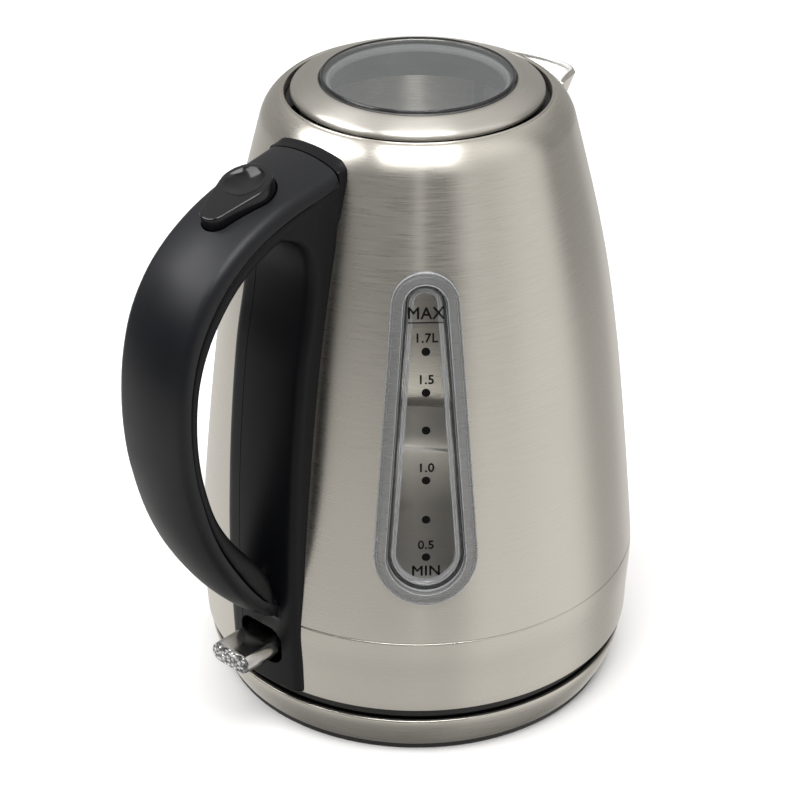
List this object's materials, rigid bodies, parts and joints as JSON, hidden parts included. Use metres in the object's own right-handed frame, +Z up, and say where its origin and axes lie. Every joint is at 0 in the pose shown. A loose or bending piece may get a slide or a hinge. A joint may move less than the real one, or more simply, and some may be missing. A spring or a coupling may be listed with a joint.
{
  "type": "electric kettle",
  "caption": "Cordless electric kettle: brushed steel body with a water gauge and a hinged lid, a black loop handle and a round power base.",
  "frame": {"origin": "centre of the round resting face under the power base", "axes": "+Z up along the body's axis, +X towards the spout, -X towards the handle"},
  "size_m": [0.2093, 0.16, 0.231],
  "materials": {
    "brushed_steel": "brushed round the body, satin",
    "plain_steel": "plain",
    "black_moulding": "fine satin",
    "handle_plastic": "fine satin",
    "gloss_black": "polished",
    "rubber": "soft",
    "clear_gauge": "polished, clear",
    "gauge_rim": "frosted",
    "smoke_window": "polished, lightly smoked",
    "clear_lens": "polished, faceted",
    "lamp": "diffuse",
    "lever_plating": "satin plating",
    "brass": "plain",
    "aluminium": "as cast",
    "pale_plastic": "plain"
  },
  "bodies": {
    "power_base": {"base_bottom": "black_moulding", "base_feet": "rubber", "base_screws": "plain_steel", "base_trim_ring": "brushed_steel", "base_cover": "black_moulding", "base_connector": "black_moulding", "base_contacts": "brass", "cord_gland": "black_moulding"},
    "connector": {"jug_connector": "black_moulding", "connector_contacts": "brass"},
    "jug": {"jug_base": "black_moulding", "jug_base_screws": "plain_steel", "lower_band": "brushed_steel", "vessel_floor": "plain_steel", "diffuser_plate": "aluminium", "heating_element": "aluminium", "thermostat_control": "pale_plastic", "snap_discs": "brass", "control_screws": "plain_steel", "steam_tube": "pale_plastic", "steam_bimetal": "pale_plastic", "body_shell": "brushed_steel", "spout": "brushed_steel", "gauge_window": "clear_gauge", "gauge_seal": "rubber", "gauge_frame": "gauge_rim", "lid_collar": "black_moulding", "lid_hinge_pin": "plain_steel", "lid_spring": "plain_steel", "handle_spine": "handle_plastic", "handle_cap": "handle_plastic", "handle_outer": "handle_plastic", "handle_inner": "handle_plastic", "handle_screws": "plain_steel", "switch_pivot_pin": "plain_steel"},
    "lid": {"lid_ring": "brushed_steel", "lid_window": "smoke_window", "lid_window_gasket": "rubber", "lid_frame": "black_moulding", "lid_seal": "rubber", "lid_screws": "plain_steel"},
    "release": {"release_button": "gloss_black", "button_spring": "plain_steel"},
    "latch": {"lid_latch": "pale_plastic"},
    "switch": {"switch_lever": "lever_plating", "switch_lens": "clear_lens", "switch_lamp": "lamp"},
    "trip": {"switch_link": "pale_plastic"},
    "filter": {"filter_frame": "black_moulding", "filter_mesh": "plain_steel"}
  },
  "joints": [
    {"name": "jug_lift", "type": "slide", "parent": "power_base", "child": "connector", "axis": [0, 0, 1], "range_m": [0, 0.06]},
    {"name": "jug_turn", "type": "hinge", "parent": "connector", "child": "jug", "pos_m": [0, 0, 0.0155], "axis": [0, 0, 1], "continuous": true},
    {"name": "lid_hinge", "type": "hinge", "parent": "jug", "child": "lid", "pos_m": [-0.037, 0, 0.225], "axis": [0, -1, 0], "range_deg": [0, 75]},
    {"name": "button_press", "type": "slide", "parent": "jug", "child": "release", "axis": [0.2924, 0, -0.9563], "range_m": [0, 0.0025], "stiffness_N_per_m": 300, "deforming": ["button_spring"]},
    {"name": "latch_slide", "type": "slide", "parent": "jug", "child": "latch", "axis": [-1, 0, 0], "range_m": [0, 0.0025]},
    {"name": "switch_rock", "type": "hinge", "parent": "jug", "child": "switch", "pos_m": [-0.075, 0, 0.0383], "axis": [0, -1, 0], "range_deg": [0, 14]},
    {"name": "link_lift", "type": "slide", "parent": "jug", "child": "trip", "axis": [0, 0, 1], "range_m": [0, 0.0029]},
    {"name": "filter_slide", "type": "slide", "parent": "jug", "child": "filter", "axis": [-1, 0, 0], "range_m": [0, 0.012]}
  ],
  "couplings": [
    {"joint": "latch_slide", "follows": "button_press", "ratio": 1},
    {"joint": "link_lift", "follows": "switch_rock", "m_per_rad": 0.0115}
  ]
}
